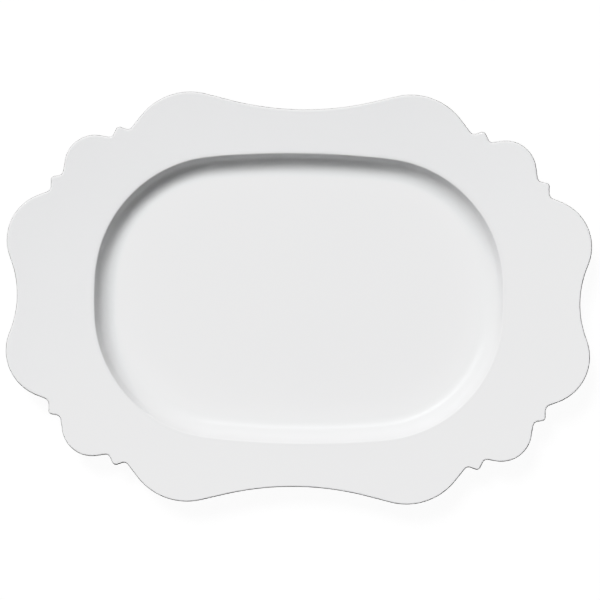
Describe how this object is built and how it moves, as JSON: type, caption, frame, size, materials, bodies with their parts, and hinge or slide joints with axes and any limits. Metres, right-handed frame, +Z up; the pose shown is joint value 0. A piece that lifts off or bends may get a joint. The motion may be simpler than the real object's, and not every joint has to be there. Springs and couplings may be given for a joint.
{
  "type": "serving platter",
  "caption": "Large white glazed porcelain serving platter: rounded oblong well with a steep wall inside a broad, gently rising rim cut to a scalloped outline, on a low foot.",
  "frame": {"origin": "middle of the foot, on the table", "axes": "+X along the platter's length, +Y across its width, +Z up out of the well"},
  "size_m": [0.42, 0.295, 0.0286],
  "materials": {
    "glazed_porcelain": "clear gloss glaze over white porcelain",
    "bare_porcelain": "unglazed, ground and polished to a fine matte"
  },
  "bodies": {
    "root": {"well_floor": "glazed_porcelain", "well_wall": "glazed_porcelain", "rim_flange": "glazed_porcelain", "rim_edge": "glazed_porcelain", "foot_ring": "glazed_porcelain", "foot_unglazed_band": "bare_porcelain", "support_ring": "glazed_porcelain", "support_unglazed_band": "bare_porcelain"}
  },
  "joints": []
}
